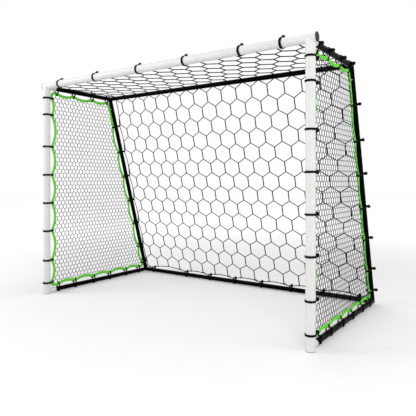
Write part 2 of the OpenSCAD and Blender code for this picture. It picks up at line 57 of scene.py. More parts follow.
# where the tubes are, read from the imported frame
footLow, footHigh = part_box("right_foot_cap")
postRadius = (footHigh.x - footLow.x) / 2
postX = (footHigh.x + footLow.x) / 2
mouthY = (footHigh.y + footLow.y) / 2
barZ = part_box("crossbar")[1].z - postRadius
railLow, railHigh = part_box("right_ground_rail")
railRadius = (railHigh.x - railLow.x) / 2
sideX = (railHigh.x + railLow.x) / 2
groundZ = (railHigh.z + railLow.z) / 2
railZ = middle("right_top_rail").z
groundBackY = middle("rear_ground_bar").y
topDepth = middle("rear_top_bar").y - mouthY
groundDepth = groundBackY - mouthY
rearRise = railZ - groundZ
rearRun = groundDepth - topDepth
rearLength = math.hypot(rearRise, rearRun)
lean = math.atan2(rearRun, rearRise)
print("frame read: posts at", round(postX, 4), "crossbar at", round(barZ, 4))

# where the bungees sit: on the uprights as shares of the crossbar's height, on the rails of the
# depth at their back end, and on the bars of half their width
tieShares = {
    "post": [0.942, 0.862, 0.708, 0.572, 0.4365, 0.302, 0.1605, 0.053],
    "rearPost": [0.067, 0.165, 0.302, 0.436, 0.573, 0.708, 0.847],
    "topRail": [0.132, 0.383, 0.681, 0.93],
    "groundRail": [0.0925, 0.239, 0.416, 0.58, 0.757, 0.907],
    "crossbar": [-0.855, -0.495, -0.113, 0.244, 0.611, 0.85],
    "groundBar": [-0.902, -0.538, -0.298, -0.061, 0.176, 0.419, 0.665, 0.915],
}
postTies = [barZ * share for share in tieShares["post"]]
rearTies = [(barZ * share - groundZ) / math.cos(lean) for share in tieShares["rearPost"]]
topTies = [topDepth * share for share in tieShares["topRail"]]
groundTies = [groundDepth * share for share in tieShares["groundRail"]]
barTies = [postX * share for share in tieShares["crossbar"]]
groundBarTies = [sideX * share for share in tieShares["groundBar"]]

bowShape = 0.85                # power of the half wave between two bungees: below 1 it is fuller


# small helpers for flat drawings: (depth, height) on the sides, (across, along) on the large net
def direction(angle):
    return Vector((math.cos(angle), math.sin(angle)))


def leftOf(v):
    return Vector((-v.y, v.x))


def cross2(a, b):
    return a.x * b.y - a.y * b.x


def scallops(start, end, places, near, slack, steps):
    # a row that lies near its tube at each bungee and bows away from it in between
    along = (end - start).normalized()
    side = leftOf(along)
    points = []
    for first, second in zip(places, places[1:]):
        gap = second - first
        for k in range(steps):
            t = k / steps
            sag = slack * gap * math.sin(math.pi * t) ** bowShape
            points.append(start + along * (first + gap * t) + side * (near + sag))
    points.append(start + along * places[-1] + side * near)
    return points


def turnCorner(p, u, q, v, steps):
    # leaves p along u and comes to q along v, drawn towards the point where the two lines cross
    corner = p + u * (cross2(q - p, v) / cross2(u, v))
    points = []
    for k in range(1, steps):
        t = k / steps
        points.append(p * (1 - t) ** 3 + corner * (3 * t * (1 - t)) + q * t ** 3)
    return points


def outline(edges, inner, steps):
    # a closed line of one scalloped row for each edge and a turn at each corner
    points = []
    for index, edge in enumerate(edges):
        start, end, places, near, slack = edge
        nextStart, nextEnd, nextPlaces, nextNear, _ = edges[(index + 1) % len(edges)]
        u = (end - start).normalized()
        v = (nextEnd - nextStart).normalized()
        row = scallops(start, end, places, near + inner, slack, steps)
        target = nextStart + v * nextPlaces[0] + leftOf(v) * (nextNear + inner)
        points += row + turnCorner(row[-1], u, target, v, steps)
    return points


# the large net, laid flat and folded over the rear top bar
largeNet = {
    "pitch": 120.4 * mm,
    "twine": 2.95 * mm,        # radius of one of the two, a little thicker than real so that it shows
    "twineApart": 0.9 * mm,    # how far the two lie from the middle where they run together
    "phase": 11.5 * mm,        # how far the pattern is shifted to the right
    "corner": (5 * mm, 2),     # radius and steps where a twine turns
    "drop": 7 * mm,            # front edge below the crossbar's axis
    "lead": 9 * mm,            # back edge in front of the ground bar's axis
    "foldSteps": 8,
    "sides": 7,
}
netEdge = {
    "radius": 3.1 * mm,        # thicker than real, so that it shows
    "solidRadius": 2 * mm,     # of the CAD solid, by which the net is laid out
    "barGap": 0.3 * mm,        # between that solid and the rear top bar
    "gap": 10 * mm,            # between any other tube and the edge cord at a bungee
    "rightGap": 4.5 * mm,      # pulled tighter along the right side
    "rightSlack": 0.012,       # bow between two bungees, as a share of their spacing
    "leftSlack": 0.075,
    "frontSlack": 0.055,
    "groundSlack": 0.075,
    "steps": 16,
    "sides": 8,
}
wrapRadius = railRadius + netEdge["barGap"] + netEdge["solidRadius"]
netFront = Vector((0, barZ - largeNet["drop"]))
topCorner = Vector((topDepth, railZ))
groundCorner = Vector((groundDepth, groundZ))
netRun = topCorner - netFront
rise = math.atan2(netRun.y, netRun.x) + math.asin(wrapRadius / netRun.length)
roofLength = math.sqrt(netRun.length ** 2 - wrapRadius ** 2)
netLean = lean - math.asin((wrapRadius + largeNet["lead"]) / rearLength)
foldLength = wrapRadius * (math.pi / 2 + rise - netLean)
downNet = Vector((math.sin(netLean), -math.cos(netLean)))
rearStart = topCorner + direction(netLean) * wrapRadius
netLength = roofLength + foldLength + (groundCorner - topCorner).dot(downNet)


def netPlace(m):
    # depth and height of the point that lies m along the net from its front edge
    if m < roofLength:
        return netFront + direction(rise) * m
    if m < roofLength + foldLength:
        return topCorner + direction(math.pi / 2 + rise - (m - roofLength) / wrapRadius) * wrapRadius
    return rearStart + downNet * (m - roofLength - foldLength)


def onNet(p):
    place = netPlace(p.y)
    return Vector((p.x, mouthY + place.x, place.y))


# each edge: its two ends, where its bungees pull, how near it lies to the tube there, and its bow
barNear = postRadius + netEdge["gap"] + netEdge["solidRadius"]
edgeNear = railRadius + netEdge["gap"] + netEdge["solidRadius"]
sideNear = {"right": railRadius + netEdge["rightGap"] + netEdge["solidRadius"], "left": edgeNear}
rearOnNet = [roofLength + foldLength + rearLength - t for t in reversed(rearTies)]
netSideTies = [t / math.cos(rise) for t in topTies] + rearOnNet
netCorners = [Vector((-sideX, 0)), Vector((sideX, 0)),
              Vector((sideX, netLength)), Vector((-sideX, netLength))]
netEdges = [
    (netCorners[0], netCorners[1], [x + sideX for x in barTies], barNear, netEdge["frontSlack"]),
    (netCorners[1], netCorners[2], netSideTies, sideNear["right"], netEdge["rightSlack"]),
    (netCorners[2], netCorners[3], [sideX - x for x in reversed(groundBarTies)], edgeNear,
     netEdge["groundSlack"]),
    (netCorners[3], netCorners[0], [netLength - m for m in reversed(netSideTies)], sideNear["left"],
     netEdge["leftSlack"]),
]

# the side nets and their edging, drawn as depth and height
edging = {
    "width": 20.5 * mm,        # across, in the plane of the side net
    "thickness": 9.5 * mm,
    "postGap": 4 * mm,         # between a post and the edging at a bungee
    "railGap": 8 * mm,
    "slack": 0.1,              # bow between two bungees, as a share of their spacing
    "postSlack": 0.14,
    "inset": 3.5 * mm,         # how far the large net pulls it inwards at the rear post
    "facing": (1.0, 0.0, 0.0),
    "steps": 22,
    "sides": 16,
}
sideMesh = {
    "pitch": 33.2 * mm,
    "twine": {"right": 1.68 * mm, "left": 1.95 * mm},    # thicker than real, so that they show
    "twineApart": 0.4 * mm,
    "phase": (5.5 * mm, 43.1 * mm),                      # depth and height where the cells start
    "corner": (1.5 * mm, 1),
    "tuck": 4 * mm,            # how far it reaches in under the edging
    "rimSteps": 12,
    "sides": 5,
}


def inwards(depth, height):
    # the pull of the large net grows from nothing at the mouth to the full inset at the rear post
    rearDepth = topDepth + (railZ - height) * rearRun / rearRise
    return edging["inset"] * depth / rearDepth


def onSide(p):
    return Vector((sideX - inwards(p.x, p.y), mouthY + p.x, p.y))


postNear = postRadius + edging["postGap"] + edging["width"] / 2
railNear = railRadius + edging["railGap"] + edging["width"] / 2
sideEdges = [
    (Vector((0, groundZ)), groundCorner, groundTies, railNear, edging["slack"]),
    (groundCorner, topCorner, rearTies, railNear, edging["slack"]),
    (topCorner, Vector((0, railZ)), [topDepth - t for t in reversed(topTies)], railNear, edging["slack"]),
    (Vector((0, railZ)), Vector((0, groundZ)), [railZ - z for z in postTies], postNear, edging["postSlack"]),
]


def linearColour(code):
    channels = [int(code[i:i + 2], 16) / 255 for i in (1, 3, 5)]
    return [c / 12.92 if c <= 0.04045 else ((c + 0.055) / 1.055) ** 2.4 for c in channels] + [1.0]


def addNode(tree, kind, inputs=None, stops=None, **settings):
    # a node given as an input stands for its first output, and stops are a ramp's places and colours
    node = tree.nodes.new(kind)
    for name, value in settings.items():
        setattr(node, name, value)
    for key, value in (inputs or {}).items():
        if isinstance(value, bpy.types.Node):
            value = value.outputs[0]
        if isinstance(value, bpy.types.NodeSocket):
            tree.links.new(value, node.inputs[key])
        else:
            node.inputs[key].default_value = value
    if stops:
        for element, (position, code) in zip(node.color_ramp.elements, stops):
            element.position = position
            element.color = linearColour(code)
    return node


def newMaterial(name):
    material = bpy.data.materials.new(name)
    material.use_nodes = True
    material.node_tree.nodes.clear()
    return material, material.node_tree


def finishMaterial(tree, inputs):
    shader = addNode(tree, "ShaderNodeBsdfPrincipled", inputs)
    addNode(tree, "ShaderNodeOutputMaterial", {"Surface": shader})


# sizes of the finishes' patterns, in metres
grain = {
    "orangePeel": 1.6 * mm,
    "coatCloud": 1 / 9,        # faint change of tone over a powder coat, about 110 mm across
    "sparkErosion": 0.8 * mm,  # of a mould, drawn coarser than real so that it shows
    "mouldCloud": 1 / 60,      # the same over a moulding, about 17 mm across
    "zincCloud": 2 * mm,
}


def powderCoat(name, light, dark, roughness, shine):
    # polyester powder coat: a cured satin film with faint orange peel, a little duller where handled
    material, tree = newMaterial(name)
    place = addNode(tree, "ShaderNodeTexCoord").outputs["Object"]
    peel = addNode(tree, "ShaderNodeTexNoise",
                   {"Vector": place, "Scale": 1 / grain["orangePeel"], "Detail": 2.0})
    cloud = addNode(tree, "ShaderNodeTexNoise",
                    {"Vector": place, "Scale": 1 / grain["coatCloud"], "Detail": 3.0})
    colour = addNode(tree, "ShaderNodeValToRGB", {"Fac": cloud}, stops=[(0.3, dark), (0.7, light)])
    rough = addNode(tree, "ShaderNodeMapRange", {"Value": cloud, "From Min": 0.3, "From Max": 0.7,
                                                "To Min": roughness - 0.04, "To Max": roughness + 0.06})
    bump = addNode(tree, "ShaderNodeBump", {"Height": peel, "Strength": 0.12, "Distance": 0.2 * mm})
    finishMaterial(tree, {"Base Color": colour, "Roughness": rough, "Normal": bump,
                          "Specular IOR Level": shine, "IOR": 1.5})
    return material


def mouldedPlastic(name, light, dark, roughness, shine):
    # polyethylene and ABS mouldings: fine spark-eroded grain that scatters the light a little
    material, tree = newMaterial(name)
    place = addNode(tree, "ShaderNodeTexCoord").outputs["Object"]
    pits = addNode(tree, "ShaderNodeTexNoise",
                   {"Vector": place, "Scale": 1 / grain["sparkErosion"], "Detail": 3.0})
    cloud = addNode(tree, "ShaderNodeTexNoise",
                    {"Vector": place, "Scale": 1 / grain["mouldCloud"], "Detail": 2.0})
    colour = addNode(tree, "ShaderNodeValToRGB", {"Fac": cloud}, stops=[(0.35, dark), (0.65, light)])
    bump = addNode(tree, "ShaderNodeBump", {"Height": pits, "Strength": 0.25, "Distance": 0.1 * mm})
    finishMaterial(tree, {"Base Color": colour, "Roughness": roughness, "Normal": bump,
                          "Specular IOR Level": shine, "IOR": 1.49})
    return material


def zincPlate(name, light, dark):
    # bright zinc plate on steel: metallic, with the faint cloudiness of a barrel finish
    material, tree = newMaterial(name)
    place = addNode(tree, "ShaderNodeTexCoord").outputs["Object"]
    cloud = addNode(tree, "ShaderNodeTexNoise",
                    {"Vector": place, "Scale": 1 / grain["zincCloud"], "Detail": 3.0})
    colour = addNode(tree, "ShaderNodeValToRGB", {"Fac": cloud}, stops=[(0.3, dark), (0.7, light)])
    rough = addNode(tree, "ShaderNodeMapRange", {"Value": cloud, "To Min": 0.22, "To Max": 0.42})
    finishMaterial(tree, {"Base Color": colour, "Metallic": 1.0, "Roughness": rough})
    return material


def readLay(tree):
    # the angle round a cord and the way along it, as the cord tree stores them
    lay = addNode(tree, "ShaderNodeAttribute", attribute_name="lay")
    parts = addNode(tree, "ShaderNodeSeparateXYZ", {"Vector": lay.outputs["Vector"]}).outputs
    angle = addNode(tree, "ShaderNodeMath", {0: parts["Y"], 1: parts["X"]}, operation="ARCTAN2")
    return angle, parts["Z"]


def twisted(name, light, dark, strands, layLength, roughness, depth):
    # laid twine: strands wind round the cord, so grooves run slanting along it
    material, tree = newMaterial(name)
    angle, way = readLay(tree)
    turned = addNode(tree, "ShaderNodeMath", {0: angle, 1: float(strands)}, operation="MULTIPLY")
    phase = addNode(tree, "ShaderNodeMath", {0: way, 1: strands * 2 * math.pi / layLength, 2: turned},
                    operation="MULTIPLY_ADD")
    wave = addNode(tree, "ShaderNodeMath", {0: phase}, operation="COSINE")
    height = addNode(tree, "ShaderNodeMapRange", {"Value": wave, "From Min": -1.0, "From Max": 1.0})
    # the colour is darker in the grooves between the strands: painted shade in the crevices
    colour = addNode(tree, "ShaderNodeValToRGB", {"Fac": height}, stops=[(0.1, dark), (0.6, light)])
    bump = addNode(tree, "ShaderNodeBump", {"Height": height, "Strength": 0.6, "Distance": depth})
    finishMaterial(tree, {"Base Color": colour, "Roughness": roughness, "Normal": bump,
                          "Specular IOR Level": 0.12})
    return material


def braided(name, light, dark, carriers, pick, roughness, depth, sheen):
    # braided cover: two sets of yarns cross over and under, so the surface reads as small lozenges
    material, tree = newMaterial(name)
    angle, way = readLay(tree)
    around = addNode(tree, "ShaderNodeMath", {0: angle, 1: float(carriers)}, operation="MULTIPLY")
    along = addNode(tree, "ShaderNodeMath", {0: way, 1: 2 * math.pi / pick}, operation="MULTIPLY")
    yarns = []
    for crossing in ("ADD", "SUBTRACT"):
        phase = addNode(tree, "ShaderNodeMath", {0: along, 1: around}, operation=crossing)
        yarns.append(addNode(tree, "ShaderNodeMath", {0: phase}, operation="COSINE"))
    top = addNode(tree, "ShaderNodeMath", {0: yarns[0], 1: yarns[1]}, operation="MAXIMUM")
    height = addNode(tree, "ShaderNodeMapRange", {"Value": top, "From Min": -0.6, "From Max": 1.0})
    # the dark stop lies between the raised yarns and the light one on their tops: painted shade in the
    # crevices of the braid
    colour = addNode(tree, "ShaderNodeValToRGB", {"Fac": height}, stops=[(0.15, dark), (0.7, light)])
    bump = addNode(tree, "ShaderNodeBump", {"Height": height, "Strength": 0.7, "Distance": depth})
    finishMaterial(tree, {"Base Color": colour, "Roughness": roughness, "Normal": bump,
                          "Sheen Weight": sheen, "Sheen Roughness": 0.4, "Specular IOR Level": 0.08})
    return material


materials = {
    "whiteTube": powderCoat("whitePowderCoat", "#E7E7E6", "#DFDFDE", roughness=0.38, shine=0.4),
    "blackTube": powderCoat("blackPowderCoat", "#030304", "#020202", roughness=0.2, shine=0.02),
    "cap": mouldedPlastic("mouldedPolyethylene", "#1C1D1E", "#131414", roughness=0.45, shine=0.2),
    "ball": mouldedPlastic("mouldedAbsBall", "#050506", "#020202", roughness=0.35, shine=0.1),
    "screw": zincPlate("zincPlatedSteel", "#C3C6C9", "#9DA1A6"),
    "netTwine": twisted("knotlessPolyethyleneTwine", "#070708", "#010101",
                        strands=3, layLength=9 * mm, roughness=0.6, depth=0.3 * mm),
    "edgeRope": twisted("laidPolypropyleneRope", "#0C0C0D", "#020202",
                        strands=3, layLength=14 * mm, roughness=0.55, depth=0.5 * mm),
    "meshTwine": twisted("fineMeshPolyester", "#161817", "#090A0A",
                         strands=2, layLength=5 * mm, roughness=0.7, depth=0.15 * mm),
    # the edging's two greens are a lit and a shaded tone of one green; the shaded one is painted shade
    # between the yarns
    "edging": braided("greenBraidedEdging", "#79EA44", "#43B81E",
                      carriers=10, pick=9 * mm, roughness=0.7, depth=0.5 * mm, sheen=0.1),
    "elastic": braided("wovenElasticCover", "#070708", "#010101",
                       carriers=6, pick=3 * mm, roughness=0.6, depth=0.25 * mm, sheen=0.0),
}


def newTree(name, result, inputs):
    # a geometry tree with named inputs, and the identifier by which a modifier sets each of them
    tree = bpy.data.node_groups.new(name, "GeometryNodeTree")
    keys = {}
    for label, kind, value in inputs:
        socket = tree.interface.new_socket(name=label, in_out="INPUT", socket_type="NodeSocket" + kind)
        if value is not None:
            socket.default_value = value
        keys[label] = socket.identifier
    tree.interface.new_socket(name=result, in_out="OUTPUT", socket_type="NodeSocketGeometry")
    return tree, keys, addNode(tree, "NodeGroupInput").outputs


def finishTree(tree, shape, given):
    real = addNode(tree, "GeometryNodeRealizeInstances", {"Geometry": shape})
    painted = addNode(tree, "GeometryNodeSetMaterial", {"Geometry": real, "Material": given["Material"]})
    addNode(tree, "NodeGroupOutput", {0: painted})


def cordTree():
    # lines become smooth closed cords, flattened where asked, with their lay stored for the material
    tree, keys, given = newTree("cordsAlongLines", "Cords", (
        ("Lines", "Geometry", None),
        ("Width", "Float", 4 * mm),
        ("Thickness", "Float", 4 * mm),
        ("Sides", "Int", 8),
        ("Corner Radius", "Float", 0.0),
        ("Corner Steps", "Int", 2),
        ("Facing", "Vector", (0.0, 0.0, 0.0)),
        ("Material", "Material", None),
    ))
    lines = addNode(tree, "GeometryNodeMeshToCurve", {"Mesh": given["Lines"]})
    rounded = addNode(tree, "GeometryNodeFilletCurve", {
        "Curve": lines, "Radius": given["Corner Radius"], "Count": given["Corner Steps"],
        "Limit Radius": True}, mode="POLY")

    # a facing that has a length turns the cord's thin way towards it
    faced = addNode(tree, "GeometryNodeSetCurveNormal", {"Curve": rounded, "Normal": given["Facing"]},
                    mode="FREE")
    length = addNode(tree, "ShaderNodeVectorMath", {0: given["Facing"]}, operation="LENGTH").outputs["Value"]
    asked = addNode(tree, "FunctionNodeCompare", {0: length, 1: 0.5}, operation="GREATER_THAN",
                    data_type="FLOAT")
    chosen = addNode(tree, "GeometryNodeSwitch", {"Switch": asked, "False": rounded, "True": faced},
                     input_type="GEOMETRY")

    # the way along the cord and the place round it are caught before the sweep
    along = addNode(tree, "GeometryNodeCaptureAttribute", {"Geometry": chosen})
    along.capture_items.new("FLOAT", "along")
    tree.links.new(addNode(tree, "GeometryNodeSplineParameter").outputs["Length"], along.inputs["along"])
    circle = addNode(tree, "GeometryNodeCurvePrimitiveCircle", {"Resolution": given["Sides"], "Radius": 0.5})
    around = addNode(tree, "GeometryNodeCaptureAttribute", {"Geometry": circle})
    around.capture_items.new("VECTOR", "around")
    tree.links.new(addNode(tree, "GeometryNodeInputPosition").outputs["Position"], around.inputs["around"])
    size = addNode(tree, "ShaderNodeCombineXYZ", {"X": given["Thickness"], "Y": given["Width"], "Z": 1.0})
    profile = addNode(tree, "GeometryNodeTransform", {"Geometry": around, "Scale": size})
    cord = addNode(tree, "GeometryNodeCurveToMesh",
                   {"Curve": along, "Profile Curve": profile, "Fill Caps": True})
    ring = addNode(tree, "ShaderNodeSeparateXYZ", {"Vector": around.outputs["around"]}).outputs
    lay = addNode(tree, "ShaderNodeCombineXYZ", {"X": ring["X"], "Y": ring["Y"], "Z": along.outputs["along"]})
    stored = addNode(tree, "GeometryNodeStoreNamedAttribute", {"Geometry": cord, "Name": "lay", "Value": lay},
                     data_type="FLOAT_VECTOR", domain="POINT")
    finishTree(tree, addNode(tree, "GeometryNodeSetShadeSmooth", {"Geometry": stored}), given)
    return tree, keys


def copyTree():
    # one pattern piece is set on every point, turned by the point's own turn
    tree, keys, given = newTree("piecesOnPoints", "Pieces", (
        ("Points", "Geometry", None),
        ("Piece", "Object", None),
        ("Material", "Material", None),
    ))
    pattern = addNode(tree, "GeometryNodeObjectInfo", {"Object": given["Piece"]})
    turn = addNode(tree, "GeometryNodeInputNamedAttribute", {"Name": "turn"}, data_type="FLOAT_VECTOR")
    copies = addNode(tree, "GeometryNodeInstanceOnPoints", {
        "Points": given["Points"], "Instance": pattern.outputs["Geometry"],
        "Rotation": turn.outputs["Attribute"]})
    finishTree(tree, copies, given)
    return tree, keys


cordNodes, cordKeys = cordTree()
copyNodes, copyKeys = copyTree()
scene = bpy.context.scene


def grown(name, mesh, tree, keys, values):
    # runs a geometry tree on a mesh and keeps the result as a plain mesh object
    holder = bpy.data.objects.new(name + "Lines", mesh)
    scene.collection.objects.link(holder)
    modifier = holder.modifiers.new("grow", "NODES")
    modifier.node_group = tree
    for key, value in values.items():
        modifier[keys[key]] = value
    bpy.context.view_layer.update()
    shape = holder.evaluated_get(bpy.context.evaluated_depsgraph_get())
    result = bpy.data.meshes.new_from_object(shape)
    result.name = name
    bpy.data.objects.remove(holder)
    piece = bpy.data.objects.new(name, result)
    scene.collection.objects.link(piece)
    return piece


def lineMesh(lines):
    points, edges = [], []
    for line, closed in lines:
        first = len(points)
        points += [tuple(p) for p in line]
        edges += [(first + i, first + i + 1) for i in range(len(line) - 1)]
        if closed:
            edges.append((first + len(line) - 1, first))
    mesh = bpy.data.meshes.new("lines")
    mesh.from_pydata(points, edges, [])
    return mesh


def cordPiece(name, lines, material, replaced, width, thickness=None, sides=8, corner=(0.0, 1),
              facing=None):
    values = {"Width": width, "Thickness": thickness or width, "Sides": sides,
              "Corner Radius": corner[0], "Corner Steps": corner[1], "Material": materials[material]}
    if facing:
        values["Facing"] = facing
    piece = grown(name, lineMesh(lines), cordNodes, cordKeys, values)
    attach(piece, "root")
    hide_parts(*replaced)
    print("  ", name, len(piece.data.polygons), "faces")


def mirrored(line):
    return [Vector((-p.x, p.y, p.z)) for p in line]


parallel = 1e-12               # cross product below which two lines count as parallel
shortest = 0.4 * mm            # points of a twine that lie nearer than this become one


def twines(net, start, low, high):
    # twines zigzag from row to row, and two of them run side by side wherever cells meet
    pitch = net["pitch"]
    row = pitch * math.sqrt(3) / 2
    half = pitch / math.sqrt(3) / 2
    firstRow = math.floor((low[1] - start[1]) / row) - 1
    lastRow = math.ceil((high[1] - start[1]) / row) + 1
    firstTwine = math.floor((low[0] - start[0]) / pitch) - 1
    lastTwine = math.ceil((high[0] - start[0]) / pitch) + 1
    lines = []
    for i in range(firstTwine, lastTwine + 1):
        for lead in (1, -1):
            line = []
            for j in range(firstRow, lastRow + 1):
                swung = j % 2
                apart = lead * net["twineApart"] * (1 - 2 * swung)
                x = start[0] + pitch * (i + swung * lead / 2) + apart
                y = start[1] + row * j
                line += [Vector((x, y - half)), Vector((x, y + half))]
            lines.append(line)
    return lines


def isInside(p, fence):
    # a line drawn sideways from a point inside crosses the fence an odd number of times
    inside = False
    a = fence[-1]
    for b in fence:
        if (a.y > p.y) != (b.y > p.y) and p.x < a.x + (p.y - a.y) * (b.x - a.x) / (b.y - a.y):
            inside = not inside
        a = b
    return inside


def insideParts(line, fence):
    # the stretches of a line that lie inside a closed fence, cut off where they cross it
    count = len(fence)
    parts, current = [], []
    for p, q in zip(line, line[1:]):
        d = q - p
        cuts = [0.0, 1.0]
        lowX, highX, lowY, highY = min(p.x, q.x), max(p.x, q.x), min(p.y, q.y), max(p.y, q.y)
        for k in range(count):
            a, b = fence[k], fence[(k + 1) % count]
            if max(a.x, b.x) < lowX or min(a.x, b.x) > highX or max(a.y, b.y) < lowY or min(a.y, b.y) > highY:
                continue
            e = b - a
            bottom = cross2(d, e)
            if abs(bottom) < parallel:
                continue
            t = cross2(a - p, e) / bottom
            s = cross2(a - p, d) / bottom
            if 0 < t < 1 and 0 <= s <= 1:
                cuts.append(t)
        cuts.sort()
        for t0, t1 in zip(cuts, cuts[1:]):
            if isInside(p + d * ((t0 + t1) / 2), fence):
                if not current:
                    current = [p + d * t0]
                current.append(p + d * t1)
            elif current:
                parts.append(current)
                current = []
    if current:
        parts.append(current)
    return parts


def cleaned(line):
    kept = [line[0]]
    for p in line[1:]:
        if (p - kept[-1]).length > shortest:
            kept.append(p)
    return kept


def netParts(net, start, low, high, fence):
    # the twines of a net inside its fence, without stubs
    cut = [cleaned(part) for line in twines(net, start, low, high) for part in insideParts(line, fence)]
    return [part for part in cut if len(part) > 1]


def foldStops(line):
    # extra points where a line goes round the rear top bar
    steps = largeNet["foldSteps"]
    stops = [roofLength + foldLength * k / steps for k in range(steps + 1)]
    result = [line[0]]
    for p, q in zip(line, line[1:]):
        crossed = [m for m in stops if (p.y - m) * (q.y - m) < 0]
        if q.y < p.y:
            crossed.reverse()
        result += [p + (q - p) * ((m - p.y) / (q.y - p.y)) for m in crossed]
        result.append(q)
    return result


print("large net")
netFence = outline(netEdges, 0.0, netEdge["steps"])
netLines = netParts(largeNet, (largeNet["phase"], roofLength), (-sideX, 0.0), (sideX, netLength), netFence)
edgeLine = foldStops(netFence + netFence[:1])[:-1]
cordPiece("large_net", [([onNet(p) for p in cleaned(foldStops(line))], False) for line in netLines],
          "netTwine", ["top_net", "rear_net"], 2 * largeNet["twine"],
          sides=largeNet["sides"], corner=largeNet["corner"])
cordPiece("large_net_edge", [([onNet(p) for p in edgeLine], True)],
          "edgeRope", ["net_edge_cord"], 2 * netEdge["radius"], sides=netEdge["sides"])

print("side nets")
sideFence = outline(sideEdges, edging["width"] / 2 - sideMesh["tuck"], sideMesh["rimSteps"])
sideParts = netParts(sideMesh, sideMesh["phase"], (0.0, groundZ), (groundDepth, railZ), sideFence)
meshLines = [[Vector((sideX, mouthY + p.x, p.y)) for p in part] for part in sideParts]
edgingLine = [onSide(p) for p in outline(sideEdges, 0.0, edging["steps"])]
for side in ("right", "left"):
    if side == "left":
        meshLines = [mirrored(line) for line in meshLines]
        edgingLine = mirrored(edgingLine)
    cordPiece(side + "_side_mesh", [(line, False) for line in meshLines],
              "meshTwine", [side + "_side_net"], 2 * sideMesh["twine"][side],
              sides=sideMesh["sides"], corner=sideMesh["corner"])
    cordPiece(side + "_edging", [(edgingLine, True)],
              "edging", [side + "_side_edging"], edging["width"], edging["thickness"],
              sides=edging["sides"], facing=edging["facing"])

# Each bungee is drawn flat, in a plane square to its tube, as a loop round two or three wrapped
# circles. Its two strands lie to both sides of that plane.
bungee = {
    "cord": 5.4 * mm,          # a little thicker than real, so that it shows
    "strandGap": 5.6 * mm,     # between the middles of the two strands
    "farDrawn": 1.22,          # the crossbar's and the left post's are drawn this many times thicker
    "seat": -0.75 * mm,        # the stretched cord lies flattened by this much
    "tip": 2 * mm,             # how far the end of a loop reaches past the edging or the edge cord
    "turnStep": 9,             # degrees between two points on a turn
    "runStep": 7 * mm,         # about as far between two points on a straight strand
    # from inside the ball down to the tube: way along, half the strands' distance, height
    "neck": [
        (0.0, 0.6 * mm, 7 * mm),
        (1.5 * mm, 1.0 * mm, 3 * mm),
        (5 * mm, 1.9 * mm, 0.8 * mm),
    ],
    "neckLength": 9 * mm,
    # the loop's far end opens into an eye under the ball: way past the ball's middle, and the same two
    "parting": (-9 * mm, 0.8 * mm, 0.4 * mm),            # here the distance is added to the strands' own
    "eye": [
        (-5.4 * mm, 4.32 * mm, 1.68 * mm),
        (-1.44 * mm, 5.4 * mm, 2.4 * mm),
        (3 * mm, 4.968 * mm, 3 * mm),
        (6 * mm, 3.24 * mm, 4.6 * mm),
        (7.44 * mm, 0.0, 4.8 * mm),
    ],
    "eyeLength": 12 * mm,
    "slant": {"right": 0.4, "left": 0.0},                # lean of a ground rail's bungee, its top forwards
    "slantFrom": 15 * mm,      # height at which a leaning bungee keeps its place
    "sides": 8,
}
ball = {
    "radius": 10.5 * mm,       # a little larger than real, so that it shows
    "turns": {"crossbar": 62, "groundBar": 30, "post": 64, "topRail": 90, "rearPost": 100},    # degrees
    "rings": 18,
    "segments": 20,
    "seam": 0.22 * mm,         # height of the parting line
    "seamReach": 0.09,         # and how far it goes to both sides, in radians
    "neck": 4 * mm,            # radius of the collar where the cord goes in
    "collar": 1.2 * mm,        # its length, of which half is bevelled
    "bevel": 0.8 * mm,
}
cordRadius = bungee["cord"] / 2
ballSeat = ball["radius"] + cordRadius + bungee["seat"]
postWrap = postRadius + cordRadius + bungee["seat"]
railWrap = railRadius + cordRadius + bungee["seat"]
hemWrap = edging["thickness"] / 2 + cordRadius + bungee["seat"]
edgeWrap = netEdge["radius"] + cordRadius + bungee["seat"]
hemTip = (edging["width"] - edging["thickness"]) / 2 + bungee["tip"]
edgeTip = bungee["tip"]


def leave(a, b):
    # the angle at which a strand leaves one wrapped circle for the next
    d = b[0] - a[0]
    return math.atan2(d.y, d.x) - math.acos((a[1] - b[1]) / d.length)


def onCircle(circle, degrees):
    # where a ball sits on a wrapped circle, and the way out from there
    out = direction(math.radians(degrees))
    return circle[0] + out * circle[1], out


def onStrand(a, b):
    # the same halfway along the straight strands from one wrapped circle to the next
    out = direction(leave(a, b))
    return (a[0] + b[0] + out * (a[1] + b[1])) / 2, out


def belt(circles, foot):
    # points and outward directions of a tight closed loop round the circles, from the ball's foot on
    points = []
    count = len(circles)
    for i in range(count):
        a, b, c = circles[i], circles[(i + 1) % count], circles[(i + 2) % count]
        start = leave(a, b)
        end = leave(b, c)
        sweep = (end - start) % (2 * math.pi)
        steps = max(2, math.ceil(sweep / math.radians(bungee["turnStep"])))
        for k in range(steps + 1):
            out = direction(start + sweep * k / steps)
            points.append((b[0] + out * b[1], out))
        out = direction(end)
        stopAt = b[0] + out * b[1]
        nextAt = c[0] + out * c[1]
        runs = max(1, round((nextAt - stopAt).length / bungee["runStep"]))
        for k in range(1, runs):
            points.append((stopAt.lerp(nextAt, k / runs), out))
    first = min(range(len(points)), key=lambda k: (points[k][0] - foot).length)
    return points[first:] + points[:first]


